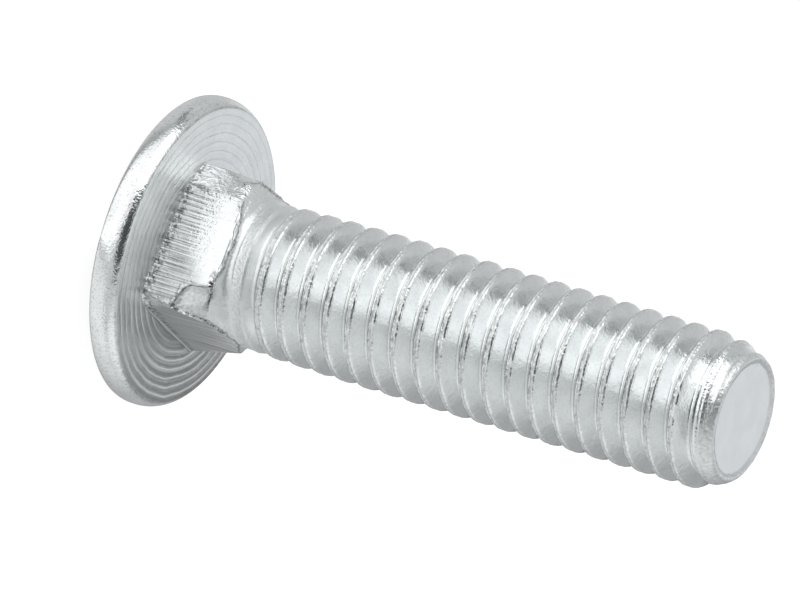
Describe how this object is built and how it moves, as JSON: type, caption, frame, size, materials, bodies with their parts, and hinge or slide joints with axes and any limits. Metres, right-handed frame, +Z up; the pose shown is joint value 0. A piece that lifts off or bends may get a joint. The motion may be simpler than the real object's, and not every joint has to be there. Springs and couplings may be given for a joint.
{
  "type": "carriage bolt",
  "caption": "Carriage bolt with a low domed round head, a square neck with tapered corners and a rolled thread along the whole shank, in bright zinc-plated steel.",
  "frame": {"origin": "top of the head's dome, at the bottom centre of the overall box", "axes": "+Z up, along the bolt from the head to the tip; +X and +Y square to the flats of the neck"},
  "size_m": [0.0196, 0.0194, 0.0422],
  "materials": {
    "zinc_plated_steel": "bright zinc plating, slightly uneven"
  },
  "bodies": {
    "root": {"carriage_bolt": "zinc_plated_steel"}
  },
  "joints": []
}
